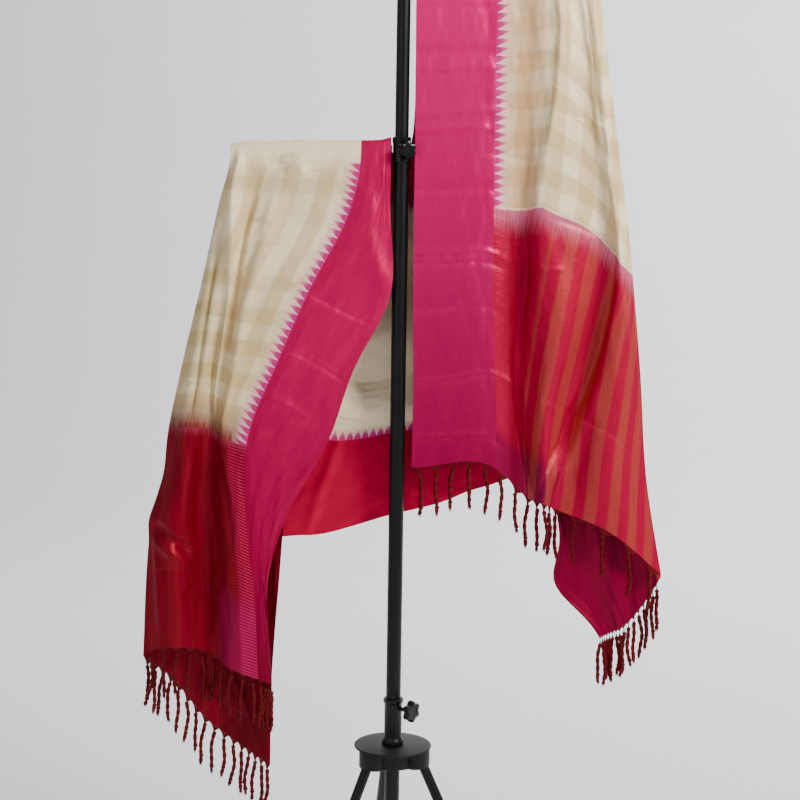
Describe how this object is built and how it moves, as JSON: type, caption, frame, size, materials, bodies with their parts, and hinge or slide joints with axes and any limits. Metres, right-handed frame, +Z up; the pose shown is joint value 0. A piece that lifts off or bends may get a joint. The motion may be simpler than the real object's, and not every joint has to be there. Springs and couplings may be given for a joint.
{
  "type": "dupatta on a tripod display stand",
  "caption": "Silk dupatta with a wide border, striped end pieces and tassels, draped over the two arms of a tripod display stand.",
  "frame": {"origin": "on the floor, under the middle of the whole part's box", "axes": "+Z up along the post, +X to the viewer's right, -Y towards the viewer"},
  "size_m": [0.9752, 0.5324, 2.134],
  "materials": {
    "stand_metal": "satin black",
    "knob_plastic": "black moulded",
    "foot_rubber": "matte black",
    "silk": "handloom silk, soft sheen",
    "tassel_thread": "twisted silk thread"
  },
  "bodies": {
    "base": {"hub": "stand_metal", "sleeve": "stand_metal", "leg_1": "stand_metal", "leg_2": "stand_metal", "leg_3": "stand_metal", "foot_1": "foot_rubber", "foot_2": "foot_rubber", "foot_3": "foot_rubber"},
    "lower_clamp": {"lower_knob": "knob_plastic"},
    "mast": {"lower_tube": "stand_metal", "upper_tube": "stand_metal", "collar": "stand_metal", "arm_ring": "stand_metal", "top_cap": "knob_plastic", "left_arm": "stand_metal", "right_arm": "stand_metal", "left_front_panel": "silk", "left_under_fold": "silk", "right_front_panel": "silk", "right_under_fold": "silk", "back_swag_upper": "silk", "back_swag_lower": "silk", "left_front_tassels": "tassel_thread", "left_under_tassels": "tassel_thread", "right_front_tassels": "tassel_thread", "right_under_tassels": "tassel_thread"},
    "upper_clamp": {"upper_knob": "knob_plastic"}
  },
  "joints": [
    {"name": "mast_slide", "type": "slide", "parent": "base", "child": "mast", "axis": [0, 0, 1], "range_m": [-0.15, 0.2]},
    {"name": "lower_knob_turn", "type": "hinge", "parent": "base", "child": "lower_clamp", "pos_m": [-0.01168, -0.05279, 0.64], "axis": [0.788, -0.6157, 0], "range_deg": [-180, 180]},
    {"name": "upper_knob_turn", "type": "hinge", "parent": "mast", "child": "upper_clamp", "pos_m": [-0.01168, -0.05279, 1.692], "axis": [0.342, -0.9397, 0], "range_deg": [-180, 180]}
  ]
}
